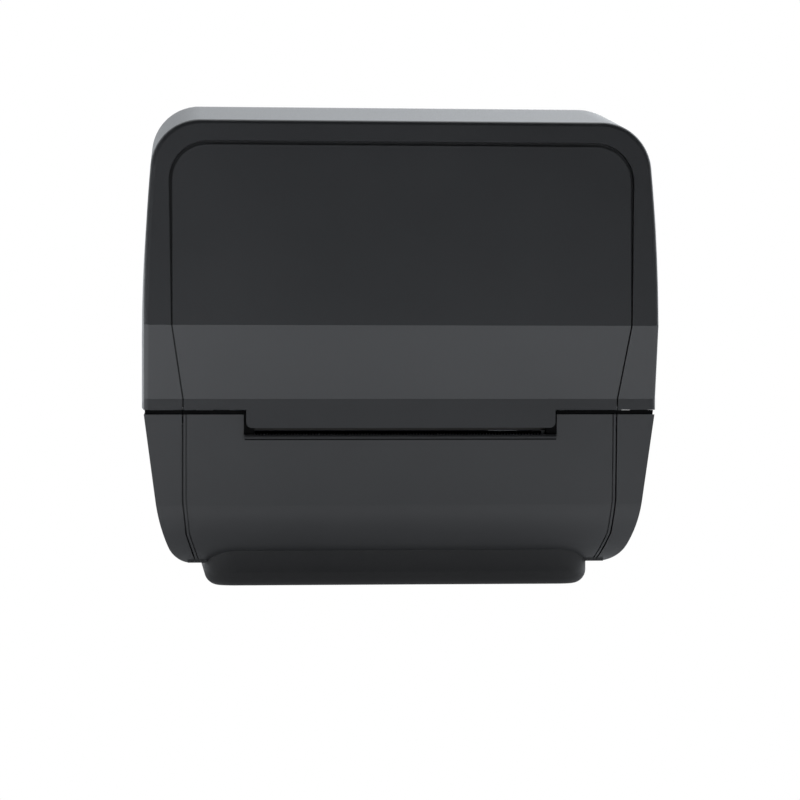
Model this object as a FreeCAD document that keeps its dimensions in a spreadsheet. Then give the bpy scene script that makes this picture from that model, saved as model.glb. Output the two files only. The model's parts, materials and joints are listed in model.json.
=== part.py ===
import FreeCAD, Part
import math
import os
import Sketcher
from FreeCAD import Placement, Rotation, Vector

doc = FreeCAD.newDocument("LabelPrinter")
sheet = doc.addObject("Spreadsheet::Sheet", "Sizes")


class Dim:
    """A size that knows both its number and the sheet expression that drives it."""

    def __init__(self, value, text):
        self.value = float(value)
        self.text = text

    def __add__(self, other):
        other = dim(other)
        return Dim(self.value + other.value, f"({self.text} + {other.text})")

    __radd__ = __add__

    def __sub__(self, other):
        other = dim(other)
        return Dim(self.value - other.value, f"({self.text} - {other.text})")

    def __rsub__(self, other):
        return dim(other) - self

    def __mul__(self, other):
        other = dim(other)
        return Dim(self.value * other.value, f"({self.text} * {other.text})")

    __rmul__ = __mul__

    def __truediv__(self, other):
        other = dim(other)
        return Dim(self.value / other.value, f"({self.text} / {other.text})")

    def __neg__(self):
        return Dim(-self.value, f"(0 - {self.text})")


def dim(value):
    if isinstance(value, Dim):
        return value
    return Dim(value, f"({value:.6g})" if value < 0 else f"{value:.6g}")


def root(value):
    return Dim(math.sqrt(value.value), f"sqrt({value.text})")


def tangent(degrees):
    return Dim(math.tan(math.radians(degrees.value)), f"tan({degrees.text} * 1 deg)")


def sine(degrees):
    return Dim(math.sin(math.radians(degrees.value)), f"sin({degrees.text} * 1 deg)")


def cosine(degrees):
    return Dim(math.cos(math.radians(degrees.value)), f"cos({degrees.text} * 1 deg)")


row_count = 0


def size(name, value):
    """Writes one driving size to the sheet and hands it back as a Dim."""
    global row_count
    row_count += 1
    sheet.set(f"A{row_count}", name)
    sheet.set(f"B{row_count}", str(value))
    sheet.setAlias(f"B{row_count}", name)
    return Dim(value, f"Sizes.{name}")


def bind(thing, **sizes):
    for prop, value in sizes.items():
        thing.setExpression(prop.replace("__", "."), dim(value).text)


def move(thing, x=0, y=0, z=0):
    bind(thing, Placement__Base__x=x, Placement__Base__y=y, Placement__Base__z=z)


def box(label, x, y, z):
    """A block between the pairs x, y and z."""
    block = doc.addObject("Part::Box", label)
    block.Label = label
    bind(block, Length=x[1] - dim(x[0]), Width=y[1] - dim(y[0]), Height=z[1] - dim(z[0]))
    move(block, x[0], y[0], z[0])
    return block


TURNS = {"X": Rotation(Vector(0, 1, 0), 90), "Y": Rotation(Vector(1, 0, 0), -90), "Z": Rotation()}


def rod(label, axis, radius, start, end, a, b):
    """A round bar along X, Y or Z from start to end; a and b are its other two coordinates in order."""
    bar = doc.addObject("Part::Cylinder", label)
    bar.Label = label
    bar.Placement = Placement(Vector(), TURNS[axis])
    bind(bar, Radius=radius, Height=end - dim(start))
    spots = {"X": (start, a, b), "Y": (a, start, b), "Z": (a, b, start)}
    move(bar, *spots[axis])
    return bar


def fuse(label, *things):
    joined = doc.addObject("Part::MultiFuse", label)
    joined.Label = label
    joined.Shapes = list(things)
    joined.Refine = True
    return joined


def cut(label, base, *tools):
    result = doc.addObject("Part::Cut", label)
    result.Label = label
    result.Base = base
    result.Tool = tools[0] if len(tools) == 1 else fuse(label + "_tools", *tools)
    result.Refine = True
    return result


def common(label, base, tool):
    result = doc.addObject("Part::Common", label)
    result.Label = label
    result.Base = base
    result.Tool = tool
    result.Refine = True
    return result


def mirror(label, source):
    """The same piece on the other side of the middle plane."""
    twin = doc.addObject("Part::Mirroring", label)
    twin.Label = label
    twin.Source = source
    twin.Base = Vector(0, 0, 0)
    twin.Normal = Vector(1, 0, 0)
    return twin


def body(label):
    piece = doc.addObject("PartDesign::Body", label)
    piece.Label = label
    return piece


def plane_of(piece, name):
    return next(f for f in piece.Origin.OriginFeatures if f.Role == name + "_Plane")


def arc_between(p, q, radius):
    """An arc from p to q, bulging to the left of the way from p to q when radius is negative."""
    r = abs(radius)
    mid = (p + q) * 0.5
    half = (q - p).Length / 2
    way = (q - p).normalize()
    side = Vector(-way.y, way.x, 0)
    if radius > 0:
        side = side * -1
    sag = r - math.sqrt(max(r * r - half * half, 0))
    if radius < 0:
        return Part.Arc(q, mid + side * sag, p)
    return Part.Arc(p, mid + side * sag, q)


def draw(piece, plane, offset, loops):
    """A constrained sketch. A loop is ('ring', a, b, r) or a list of corners (a, b) or (a, b, r), r bending the
    edge that ends there, and every number is tied to the sheet."""
    sketch = piece.newObject("Sketcher::SketchObject", piece.Label + "_sketch")
    sketch.AttachmentSupport = [(plane_of(piece, plane), "")]
    sketch.MapMode = "FlatFace"
    bind(sketch, AttachmentOffset__Base__z=offset)
    for loop in loops:
        if loop[0] == "ring":
            a, b, r = (dim(v) for v in loop[1:])
            g = sketch.addGeometry(Part.Circle(Vector(a.value, b.value, 0), Vector(0, 0, 1), r.value))
            for kind, value in (("DistanceX", a), ("DistanceY", b)):
                n = sketch.addConstraint(Sketcher.Constraint(kind, -1, 1, g, 3, value.value))
                sketch.setExpression(f"Constraints[{n}]", value.text)
            n = sketch.addConstraint(Sketcher.Constraint("Radius", g, r.value))
            sketch.setExpression(f"Constraints[{n}]", r.text)
            continue
        corners = [(dim(c[0]), dim(c[1]), dim(c[2]) if len(c) > 2 else None) for c in loop]
        first = sketch.GeometryCount
        count = len(corners)
        for i in range(count):
            p = Vector(corners[i - 1][0].value, corners[i - 1][1].value, 0)
            q = Vector(corners[i][0].value, corners[i][1].value, 0)
            bend = corners[i][2]
            edge = Part.LineSegment(p, q) if bend is None else arc_between(p, q, bend.value)
            sketch.addGeometry(edge)
        ends = []
        for i in range(count):
            g = first + i
            curve = sketch.Geometry[g]
            q = Vector(corners[i][0].value, corners[i][1].value, 0)
            last = 2 if (curve.EndPoint - q).Length < (curve.StartPoint - q).Length else 1
            ends.append((g, 3 - last, last))
        for i in range(count):
            g, begin, last = ends[i]
            after = ends[(i + 1) % count]
            sketch.addConstraint(Sketcher.Constraint("Coincident", g, last, after[0], after[1]))
            for kind, value in (("DistanceX", corners[i][0]), ("DistanceY", corners[i][1])):
                n = sketch.addConstraint(Sketcher.Constraint(kind, -1, 1, g, last, value.value))
                sketch.setExpression(f"Constraints[{n}]", value.text)
            bend = corners[i][2]
            if bend is not None:
                n = sketch.addConstraint(Sketcher.Constraint("Radius", g, abs(bend.value)))
                sketch.setExpression(f"Constraints[{n}]", f"abs({bend.text})")
    return sketch


def pad(piece, plane, start, end, *loops):
    """Material between start and end along the axis that the plane faces."""
    start, end = dim(start), dim(end)
    made = piece.newObject("PartDesign::Pad", piece.Label + "_pad")
    sketch = draw(piece, plane, -end if plane == "XZ" else start, loops)
    made.Profile = sketch
    bind(made, Length=end - start)
    piece.Tip = made
    return made


def pocket(piece, plane, start, end, *loops):
    """Room between start and end along the axis that the plane faces."""
    start, end = dim(start), dim(end)
    made = piece.newObject("PartDesign::Pocket", piece.Label + "_pocket")
    sketch = draw(piece, plane, -end if plane == "XZ" else start, loops)
    made.Profile = sketch
    made.Reversed = True
    bind(made, Length=end - start)
    piece.Tip = made
    return made


def fillet(piece, radius, chosen):
    """Rounds the edges that the test picks out of the body so far."""
    doc.recompute()
    base = piece.Tip
    names = [f"Edge{i}" for i, e in enumerate(base.Shape.Edges, 1) if chosen(e)]
    made = piece.newObject("PartDesign::Fillet", piece.Label + "_fillet")
    made.Base = (base, names)
    bind(made, Radius=radius)
    piece.Tip = made
    return made


def chamfer(piece, reach, chosen):
    """Bevels the edges that the test picks out of the body so far."""
    doc.recompute()
    base = piece.Tip
    names = [f"Edge{i}" for i, e in enumerate(base.Shape.Edges, 1) if chosen(e)]
    made = piece.newObject("PartDesign::Chamfer", piece.Label + "_chamfer")
    made.Base = (base, names)
    bind(made, Size=reach)
    piece.Tip = made
    return made


def along(edge, axis):
    """True for a straight edge parallel to one axis."""
    if edge.Curve.TypeId != "Part::GeomLine":
        return False
    return abs(abs(edge.tangentAt(edge.FirstParameter)[axis]) - 1) < 1e-6


def near(edge, axis, value):
    return abs(edge.CenterOfMass[axis] - dim(value).value) < 0.05


def rectangle(a, b):
    return [(a[0], b[0]), (a[1], b[0]), (a[1], b[1]), (a[0], b[1])]


# Driving sizes in millimetres. X runs to the right, the front faces -Y and Z is up.
width = size("width", 197)
depth = size("depth", 267)
height = size("height", 191)
wall = size("wall", 2.5)
seam_z = size("seam_z", 67)
seam_gap = size("seam_gap", 1.8)
seam_step = size("seam_step", 1.3)
panel_gap = size("panel_gap", 0.6)
lap = size("lap", 1.2)
clearance = size("clearance", 0.4)
running = size("running", 0.05)

crease_z = size("crease_z", 101)
lip_top = size("lip_top", 73)
lip_back = size("lip_back", 8)
face_lean = size("face_lean", 1.5)
face_drop = size("face_drop", 12.1)
crown_run = size("crown_run", 65.3)
crown_radius = size("crown_radius", 150)
lid_side_radius = size("lid_side_radius", 700)
lid_corner = size("lid_corner", 19)
lid_flare = size("lid_flare", 0.33)
lid_edge = size("lid_edge", 2)
lid_rear_edge = size("lid_rear_edge", 4)
hinge_in = size("hinge_in", 14.5)
groove_wide = size("groove_wide", 1.6)
groove_fine = size("groove_fine", 0.6)
inset_half = size("inset_half", 89.3)
inset_crease = size("inset_crease", 88.2)
inset_lip = size("inset_lip", 83.9)
inset_top = size("inset_top", 7.8)
inset_corner = size("inset_corner", 15)
tongue_half = size("tongue_half", 59.5)
tongue_drop = size("tongue_drop", 6.9)
tongue_corner = size("tongue_corner", 2.2)

base_bottom = size("base_bottom", 9)
base_lean = size("base_lean", 7.6)
side_bend_z = size("side_bend_z", 34)
side_curve = size("side_curve", 70)
side_knee_in = size("side_knee_in", 9.3)
side_knee_z = size("side_knee_z", 16)
side_foot_in = size("side_foot_in", 17.5)
base_corner = size("base_corner", 12)
base_front = size("base_front", 10.5)
base_front_lean = size("base_front_lean", 4)
base_front_radius = size("base_front_radius", 25)
base_rear = size("base_rear", 3.5)
bead_top = size("bead_top", 84)
bead_knee = size("bead_knee", 82.6)
bead_bottom = size("bead_bottom", 76.8)
bead_width = size("bead_width", 0.8)
bead_groove = size("bead_groove", 0.5)
bead_deep = size("bead_deep", 0.8)
notch_half = size("notch_half", 60.4)
notch_drop = size("notch_drop", 7.7)
rib_height = size("rib_height", 1.8)
rib_out = size("rib_out", 0.9)
plinth_half = size("plinth_half", 75)
plinth_front = size("plinth_front", 22.5)
plinth_rear = size("plinth_rear", 15)
plinth_corner = size("plinth_corner", 12)
plinth_round = size("plinth_round", 5.5)
foot_drop = size("foot_drop", 0.5)
foot_radius = size("foot_radius", 9)

bay_half = size("bay_half", 62)
shoulder_drop = size("shoulder_drop", 1)
deck_z = size("deck_z", 57)
roll_y = size("roll_y", 40)
roll_z = size("roll_z", 90)
trough_radius = size("trough_radius", 66)
slot_half = size("slot_half", 58)
slot_rise = size("slot_rise", 2.2)
slot_height = size("slot_height", 6)
lug_x = size("lug_x", 73)
lug_width = size("lug_width", 8)
lug_radius = size("lug_radius", 6.5)
pin_radius = size("pin_radius", 2.5)

platen_y = size("platen_y", -107)
platen_z = size("platen_z", 52.5)
platen_radius = size("platen_radius", 8)
platen_half = size("platen_half", 56)
shaft_radius = size("shaft_radius", 3)
bearing_radius = size("bearing_radius", 5)
tooth_module = size("tooth_module", 0.8)
tooth_play = size("tooth_play", 0.2)
gear_in = size("gear_in", 72)
gear_width = size("gear_width", 6)
platen_teeth = size("platen_teeth", 24)
idler_teeth = size("idler_teeth", 40)
pinion_teeth = size("pinion_teeth", 14)
transfer_teeth = size("transfer_teeth", 40)
takeup_teeth = size("takeup_teeth", 36)
guide_teeth = size("guide_teeth", 12)
axle_radius = size("axle_radius", 2)
motor_radius = size("motor_radius", 17.5)
motor_length = size("motor_length", 22)
screw_radius = size("screw_radius", 1.5)
idler_angle = size("idler_angle", -30)
motor_angle = size("motor_angle", -20)

latch_y = size("latch_y", -40)
latch_z = size("latch_z", 46)
latch_pin_y = size("latch_pin_y", -48)
latch_pin_z = size("latch_pin_z", 74.5)
frame_in = size("frame_in", 68)
frame_thick = size("frame_thick", 2.5)
supply_y = size("supply_y", -48)
supply_z = size("supply_z", 124)
hub_radius = size("hub_radius", 6.2)
head_pivot_y = size("head_pivot_y", -88)
head_pivot_z = size("head_pivot_z", 76)
head_gap = size("head_gap", 0.35)
holder_x = size("holder_x", 57)
holder_thick = size("holder_thick", 4)
button_x = size("button_x", 62)
button_y = size("button_y", -40)
button_radius = size("button_radius", 8)
switch_x = size("switch_x", -42)
rocker_pin = size("rocker_pin", 1.2)
port_z = size("port_z", 33)
doc.recompute()

half = width / 2
front_y = -depth / 2
rear_y = depth / 2
lid_z = seam_z + seam_gap
lip_y = front_y + lip_back
hinge_y = rear_y - hinge_in
hinge_z = lid_z + hinge_in
face_top = height - face_drop
far = half + 30
nodes = []


def keep(thing):
    nodes.append(thing)
    return thing


# Lid: a side outline swept across the width, trimmed to the front outline and rounded.
def lid_body(label, inset, bottom):
    piece = body(label)
    face_y = front_y + inset
    top = height - inset
    crown_y = face_y + face_lean + crown_run
    rear = rear_y - inset
    curl = hinge_in - inset
    turn = [(rear, hinge_z)]
    for angle in (30, 60):
        reach = math.radians(angle)
        turn.append((hinge_y + curl * math.cos(reach), hinge_z - curl * math.sin(reach)))
    low = hinge_z - curl
    if bottom.value < low.value:
        turn += [(hinge_y, low), (hinge_y, bottom)]
    else:
        turn += [(hinge_y, bottom)]
    turn.reverse()
    pad(piece, "YZ", -half - 5, half + 5, [
        (lip_y + inset, bottom), *turn, (rear, top), (crown_y, top),
        (face_y + face_lean, top - face_drop), (face_y, crease_z), (lip_y + inset, lip_top)])
    fillet(piece, crown_radius, lambda e: along(e, 0) and near(e, 1, crown_y) and near(e, 2, top))
    rise = top - crease_z
    lean_in = lid_side_radius - root(lid_side_radius * lid_side_radius - rise * rise)
    side = half - inset
    flare = (depth + 20) * tangent(lid_flare)
    edge = side + flare
    reach = rise + 6
    draft_in = lid_side_radius - root(lid_side_radius * lid_side_radius - reach * reach)
    sides = pocket(piece, "XZ", front_y - 10, rear_y + 10,
                   rectangle((-far, far), (bottom - 20, top + 20)),
                   [(edge, bottom - 10), (edge, crease_z), (edge - draft_in, top + 6, lid_side_radius),
                    (draft_in - edge, top + 6), (-edge, crease_z, lid_side_radius), (-edge, bottom - 10)])
    bind(sides, TaperAngle=-lid_flare)
    shoulder_x = (side - lean_in).value - 1

    def corner(edge):
        return abs(edge.CenterOfMass.x) > shoulder_x and edge.CenterOfMass.z > (top - face_drop).value - 1

    if inset.value > 0:
        chamfer(piece, (lid_corner - inset) * 0.75, corner)
    else:
        fillet(piece, lid_corner, corner)
    return piece


lid_form = lid_body("lid_form", dim(0), lid_z)
fillet(lid_form, lid_rear_edge,
       lambda e: e.BoundBox.YMin > rear_y.value - 0.01 and e.BoundBox.ZMax > hinge_z.value + 0.1)
fillet(lid_form, lid_edge,
       lambda e: e.BoundBox.YMax < lip_y.value + 1 and (not along(e, 0) or near(e, 2, face_top)))
lid_cavity = lid_body("lid_cavity", wall, lid_z - 6)
flange_cavity = lid_body("flange_cavity", wall + 2, lid_z - 6)


def inset_outline(label, trim, fine, low):
    """The arch of the inset front panel, made smaller by trim above the crease and by fine below it."""
    piece = body(label)
    top = face_top - inset_top - trim
    pad(piece, "XZ", front_y - 5, lip_y + 12, [
        (inset_lip - fine, low), (inset_lip - fine, lip_top), (inset_crease - fine, crease_z),
        (inset_half - trim, top), (trim - inset_half, top), (fine - inset_crease, crease_z),
        (fine - inset_lip, lip_top), (fine - inset_lip, low)])
    fillet(piece, inset_corner - trim, lambda e: along(e, 1) and near(e, 2, top))
    return piece


opening = inset_outline("panel_opening", dim(0), dim(0), lid_z - 3)
plug = inset_outline("panel_plug", groove_wide, groove_fine, lid_z - 1)
backing = inset_outline("panel_backing", dim(-2), dim(-2), lid_z + 1)
lid_wall = cut("lid_wall", lid_form, lid_cavity)
notches = [box(f"hinge_notch_{side}", (x - clearance * 2, x + lug_width + clearance * 2),
               (hinge_y - 10, rear_y + 5), (lid_z - 5, hinge_z + hinge_in - 3))
           for side, x in (("right", lug_x), ("left", -lug_x - lug_width))]
grip_y = (latch_pin_y - 22, latch_pin_y + 20)
finger_rooms = [box(f"finger_room_{side}", (x, x + 12), grip_y, (lid_z - 5, lid_z + 3))
                for side, x in (("right", half - 8), ("left", -half - 4))]
button_hole = rod("button_hole", "Z", button_radius + clearance, height - 8, height + 5, button_x, button_y)
light_hole = rod("light_hole", "Z", dim(1.6), height - 8, height + 5, button_x - 16, button_y)
lid_open = cut("lid_open", lid_wall, opening, button_hole, light_hole, *notches, *finger_rooms)
lid_under = height - wall
posts = [rod(f"board_post_{i}", "Z", dim(3), lid_under - 8, lid_under + 0.5, button_x + dx, button_y + 12)
         for i, dx in enumerate((-17, 9))]
keep(fuse("lid_shell", lid_open, *posts))

tongue = body("panel_tongue")
pad(tongue, "XZ", lip_y, lip_y + wall,
    rectangle((-tongue_half, tongue_half), (lid_z - tongue_drop, lip_top - 1)))
fillet(tongue, tongue_corner, lambda e: along(e, 1) and near(e, 2, lid_z - tongue_drop))
flange_wall = cut("flange_wall", lid_cavity, flange_cavity)
keep(fuse("lid_front_panel", common("panel_face", lid_wall, plug), common("panel_flange", flange_wall, backing),
          tongue))

# Base hull: front and side outlines meet, then the hull is hollowed and parted along the grooves.
def hull_body(label, inset, top):
    piece = body(label)
    front = front_y + base_front + inset
    rear = rear_y - base_rear - inset
    low = base_bottom + inset
    radius = base_front_radius - inset
    run = radius * tangent((90 - base_front_lean) / 2)
    foot = front + base_front_lean
    pad(piece, "YZ", -half - 5, half + 5, [
        (front, top), (foot - run * base_front_lean / (seam_z - base_bottom), low + run),
        (foot + run, low, radius), (rear - 8, low), (rear, low + 8), (rear, top)])
    lean = tangent(base_lean)
    side = half - inset
    high = side + (top - seam_z) * lean
    bend = (side - (seam_z - side_bend_z) * lean, side_bend_z)
    knee = (half - side_knee_in - inset * 0.92, side_knee_z + inset * 0.39)
    foot_x = half - side_foot_in - inset * 0.24
    pocket(piece, "XZ", front_y - 10, rear_y + 10,
           rectangle((-far, far), (low - 30, top + 30)),
           [(high, top), (-high, top), (-bend[0], bend[1]), (-knee[0], knee[1], side_curve - inset),
            (-foot_x, low, base_corner - inset), (foot_x, low), (*knee, base_corner - inset),
            (*bend, side_curve - inset)])
    return piece


hull = hull_body("hull", dim(0), seam_z)
hull_cavity = hull_body("hull_cavity", wall, lid_z + 1)
step_hull = hull_body("step_hull", seam_step, lid_z - clearance)
step_zone = box("step_zone", (-far, far), (front_y - 20, rear_y + 20), (seam_z - 3, lid_z + 2))
seam_ring = common("seam_ring", step_hull, step_zone)
hull_wall = cut("hull_wall", fuse("hull_stepped", hull, seam_ring), hull_cavity)


def groove_region(label, gap):
    piece = body(label)
    pad(piece, "XZ", front_y - 10, rear_y + 10, [
        (bead_top - gap, seam_z + 5), (bead_top - gap, side_bend_z), (bead_knee - gap, side_knee_z + 5),
        (bead_bottom - gap, base_bottom - 5), (gap - bead_bottom, base_bottom - 5),
        (gap - bead_knee, side_knee_z + 5), (gap - bead_top, side_bend_z), (gap - bead_top, seam_z + 5)])
    return piece


side_cut = groove_region("side_cut", dim(0))
bead_in = panel_gap + bead_width
bead_line = cut("bead_line", groove_region("bead_outer", bead_in),
                groove_region("bead_inner", bead_in + bead_groove))
bead_cut = cut("bead_cut", bead_line, hull_body("bead_floor", bead_deep, lid_z + 3))
centre_wall = common("centre_wall", hull_wall, groove_region("centre_region", panel_gap))
centre = cut("base_centre", centre_wall, bead_cut)
right_half = box("right_half", (dim(0), far), (front_y - 20, rear_y + 20), (dim(-5), seam_z + 10))
grip_room = box("grip_room", (half - 9, half + 5), grip_y, (seam_z - 18, seam_z + 5))
lap_skin = cut("lap_skin", hull_cavity, hull_body("lap_inner", wall + lap, lid_z + 1))
lap_top = box("lap_top", (-far, far), (front_y - 20, rear_y + 20), (seam_z - 4, lid_z + 5))
lap_line = cut("lap_line", groove_region("lap_out", -lap * 2), groove_region("lap_in", lap * 2))
laps = cut("side_laps", common("lap_strips", lap_skin, lap_line), lap_top)
sides = cut("base_sides", fuse("sides_lapped", cut("sides_plain", hull_wall, side_cut), laps), grip_room)
side_right = keep(common("base_side_right", sides, right_half))
keep(mirror("base_side_left", side_right))
front_split = front_y + 30
rear_split = rear_y - 16
front_zone = box("front_zone", (-far, far), (front_y - 20, front_split), (dim(-5), seam_z + 10))
pan_zone = box("pan_zone", (-far, far), (front_split + panel_gap, rear_split), (dim(-5), seam_z + 10))
rear_zone = box("rear_zone", (-far, far), (rear_split + panel_gap, rear_y + 20), (dim(-5), seam_z + 10))
notch_z = seam_z - notch_drop
base_skin = front_y + base_front
notch = box("exit_notch", (-notch_half, notch_half), (base_skin - 5, base_skin + 12), (notch_z, seam_z + 5))
rib = box("exit_rib", (-notch_half, notch_half), (base_skin - rib_out, base_skin + 1.5),
          (notch_z - rib_height, notch_z))
cheeks = [box(f"exit_cheek_{side}", (x, x + 6), (base_skin + wall - 0.8, base_skin + wall + 1.2),
              (notch_z - 2, lid_z - clearance))
          for side, x in (("right", notch_half - 1.9), ("left", -notch_half - 4.1))]
front_open = cut("front_open", common("front_skin", centre, front_zone), notch)
keep(fuse("base_front_panel", front_open, rib, *cheeks))
keep(common("base_pan", centre, pan_zone))

# Plinth and feet under the hull.
block = body("plinth_block")
pad(block, "XY", foot_drop, base_bottom + 8,
    rectangle((-plinth_half, plinth_half), (front_y + plinth_front, rear_y - plinth_rear)))
fillet(block, plinth_corner, lambda e: along(e, 2))
fillet(block, plinth_round, lambda e: near(e, 2, foot_drop))
pocket(block, "XY", foot_drop + 4, base_bottom + 10,
       rectangle((8 - plinth_half, plinth_half - 8), (front_y + plinth_front + 22, rear_y - plinth_rear - 8)))
feet_spots = [(sx * (plinth_half - 20), y) for sx in (1, -1)
              for y in (front_y + plinth_front + 22, rear_y - plinth_rear - 22)]
foot_rooms = [rod(f"foot_room_{i}", "Z", foot_radius, foot_drop - 1, foot_drop + 0.6, x, y)
              for i, (x, y) in enumerate(feet_spots)]
keep(cut("plinth", block, hull, *foot_rooms))
feet = doc.addObject("Part::Compound", "rubber_feet")
feet.Label = "rubber_feet"
feet.Links = [rod(f"foot_{i}", "Z", foot_radius, dim(0), foot_drop + 0.6, x, y)
              for i, (x, y) in enumerate(feet_spots)]
keep(feet)

# Media bay: two side walls with shoulders and hinge lugs, and the curved trough between them.
shoulder = seam_z - shoulder_drop
floor_z = base_bottom + wall
idler_y = platen_y + (platen_teeth + idler_teeth) * tooth_module / 2 * cosine(idler_angle) + tooth_play
idler_z = platen_z + (platen_teeth + idler_teeth) * tooth_module / 2 * sine(idler_angle)
motor_y = idler_y + (idler_teeth + pinion_teeth) * tooth_module / 2 * cosine(motor_angle) + tooth_play
motor_z = idler_z + (idler_teeth + pinion_teeth) * tooth_module / 2 * sine(motor_angle)
ear_reach = motor_radius + screw_radius * 2 + 0.5
ears = (motor_y - ear_reach, motor_y + ear_reach)
bay_left = body("bay_wall_left")
bay_y = (front_y + base_front + wall + 4, rear_y - base_rear - wall - 9)
pad(bay_left, "YZ", -bay_half - wall, -bay_half, [
    (bay_y[0], shoulder), (bay_y[0], floor_z + base_front_radius),
    (bay_y[0] + base_front_radius, floor_z + 0.1), (bay_y[1], floor_z + 0.1), (bay_y[1], shoulder)])
pad(bay_left, "XY", shoulder - 2.2, shoulder,
    rectangle((wall + 1 - half, -bay_half), (bay_y[0], rear_y - base_rear - wall - 2)))
pad(bay_left, "YZ", -lug_x - lug_width, -lug_x, [
    (hinge_y - lug_radius, shoulder - 1), (hinge_y + lug_radius, shoulder - 1), (hinge_y + lug_radius, hinge_z),
    (hinge_y - lug_radius, hinge_z, lug_radius * 1.0001)])
pocket(bay_left, "YZ", -lug_x - lug_width - 1, -lug_x + 1, ("ring", hinge_y, hinge_z, pin_radius + running))
pocket(bay_left, "YZ", -bay_half - wall - 1, -bay_half + 1,
       rectangle((platen_y - bearing_radius, platen_y + bearing_radius), (platen_z, shoulder + 1)))
pocket(bay_left, "YZ", -bay_half - wall - 1, -bay_half + 1, ("ring", platen_y, platen_z, bearing_radius))
pocket(bay_left, "YZ", -bay_half - wall - 1, -bay_half + 1, ("ring", motor_y, motor_z, dim(5)),
       *[("ring", y, motor_z, screw_radius) for y in ears])
pocket(bay_left, "YZ", -bay_half - wall - 1, -bay_half + 1, ("ring", latch_y, latch_z, shaft_radius + running))
pocket(bay_left, "XY", shoulder - 4, shoulder + 1,
       rectangle((-gear_in - gear_width - 2, 2 - gear_in), (bay_y[0] - 1, platen_y + 25)))
pocket(bay_left, "XY", shoulder - 4, shoulder + 1,
       rectangle((-half, 2 - gear_in), grip_y))
keep(bay_left)
keep(mirror("bay_wall_right", bay_left))
trough = body("media_trough")
upper_run = root(trough_radius * trough_radius - (roll_z - deck_z) * (roll_z - deck_z))
under = trough_radius + wall
under_run = root(under * under - (roll_z - deck_z + wall) * (roll_z - deck_z + wall))
deck_end = rear_y - base_rear - wall - 1
pad(trough, "YZ", clearance - bay_half, bay_half - clearance, [
    (platen_y + 12, deck_z), (platen_y + 12, deck_z - wall), (roll_y - under_run, deck_z - wall),
    (roll_y + under_run, deck_z - wall, under), (deck_end, deck_z - wall), (deck_end, deck_z),
    (roll_y + upper_run, deck_z), (roll_y - upper_run, deck_z, -trough_radius)])
sensor_y = platen_y + 22
pocket(trough, "XY", deck_z - 5, deck_z + 5, rectangle((dim(-50), dim(50)), (sensor_y - 4, sensor_y + 4)))
pocket(trough, "XY", deck_z - 50, deck_z - 20,
       rectangle((-bay_half - 2, dim(-9)), (roll_y - 10.5, roll_y - 3)),
       rectangle((dim(9), bay_half + 2), (roll_y + 3, roll_y + 10.5)))
keep(trough)
rail_bar = box("rail_bar", (0.6 - bay_half, bay_half - 0.6), (sensor_y - 8, sensor_y + 8),
               (deck_z - 8, deck_z - wall))
rail_slot = box("rail_slot", (dim(-52), dim(52)), (sensor_y - 5, sensor_y + 5), (deck_z - 5.5, deck_z))
keep(cut("sensor_rail", rail_bar, rail_slot))
keep(box("media_sensor", (dim(-7), dim(7)), (sensor_y - 3.5, sensor_y + 3.5), (deck_z - 5.2, deck_z + 0.6)))

# Rear panel, circuit board and sockets.
slot_room = box("slot_room", (-slot_half, slot_half), (rear_split - 5, rear_y + 5),
                (deck_z + slot_rise, deck_z + slot_rise + slot_height))
usb_x = dim(-14)
net_x = dim(12)
dc_x = dim(42)
port_rooms = [box(f"{n}_room", (x - w / 2, x + w / 2), (rear_split - 1, rear_y + 5),
                  (port_z - h / 2, port_z + h / 2))
              for n, x, w, h in (("usb", usb_x, 14.0, 13.0), ("net", net_x, 18.0, 15.0),
                                 ("switch", switch_x, 21.0, 15.0))]
dc_room = rod("dc_room", "Y", dim(6), rear_split - 1, rear_y + 5, dc_x, port_z)
keep(cut("rear_panel", common("rear_skin", centre, rear_zone), slot_room, dc_room, *port_rooms))
skin_y = rear_y - base_rear
board_y = skin_y - 14
keep(box("main_board", (0.5 - bay_half, bay_half - 0.5), (board_y - 1.6, board_y),
         (floor_z + 2, deck_z - wall - 1)))


def socket(label, x, w, h, mouth_w, mouth_h):
    shell = box(label + "_block", (x - w / 2, x + w / 2), (board_y, skin_y - 0.3),
                (port_z - h / 2, port_z + h / 2))
    mouth = box(label + "_mouth", (x - mouth_w / 2, x + mouth_w / 2), (skin_y - 9, skin_y + 1),
                (port_z - mouth_h / 2, port_z + mouth_h / 2))
    return shell, mouth


usb_shell, usb_mouth = socket("usb", usb_x, 13.4, 12.4, 9.6, 8.6)
usb_tongue = box("usb_tongue", (usb_x - 2.8, usb_x + 2.8), (skin_y - 9.5, skin_y - 2),
                 (port_z - 1.6, port_z + 1.6))
keep(fuse("usb_port", cut("usb_open", usb_shell, usb_mouth), usb_tongue))
net_shell, net_mouth = socket("net", net_x, 17.4, 14.4, 12.0, 9.0)
keep(cut("network_port", net_shell, net_mouth))
dc_shell = rod("dc_shell", "Y", dim(5.7), board_y, skin_y - 0.3, dc_x, port_z)
dc_mouth = rod("dc_mouth", "Y", dim(4), skin_y - 10, skin_y + 1, dc_x, port_z)
dc_pin = rod("dc_pin", "Y", dim(1.2), skin_y - 10.5, skin_y - 1.5, dc_x, port_z)
keep(fuse("dc_inlet", cut("dc_open", dc_shell, dc_mouth), dc_pin))
switch_shell, switch_mouth = socket("switch", switch_x, 20.4, 14.4, 16.4, 10.4)
rocker_spot = (skin_y - 5, port_z)
rocker_hole = rod("rocker_hole", "X", rocker_pin + running, switch_x - 11, switch_x + 11, *rocker_spot)
keep(cut("switch_bezel", switch_shell, switch_mouth, rocker_hole))
rocker = body("power_rocker")
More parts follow.
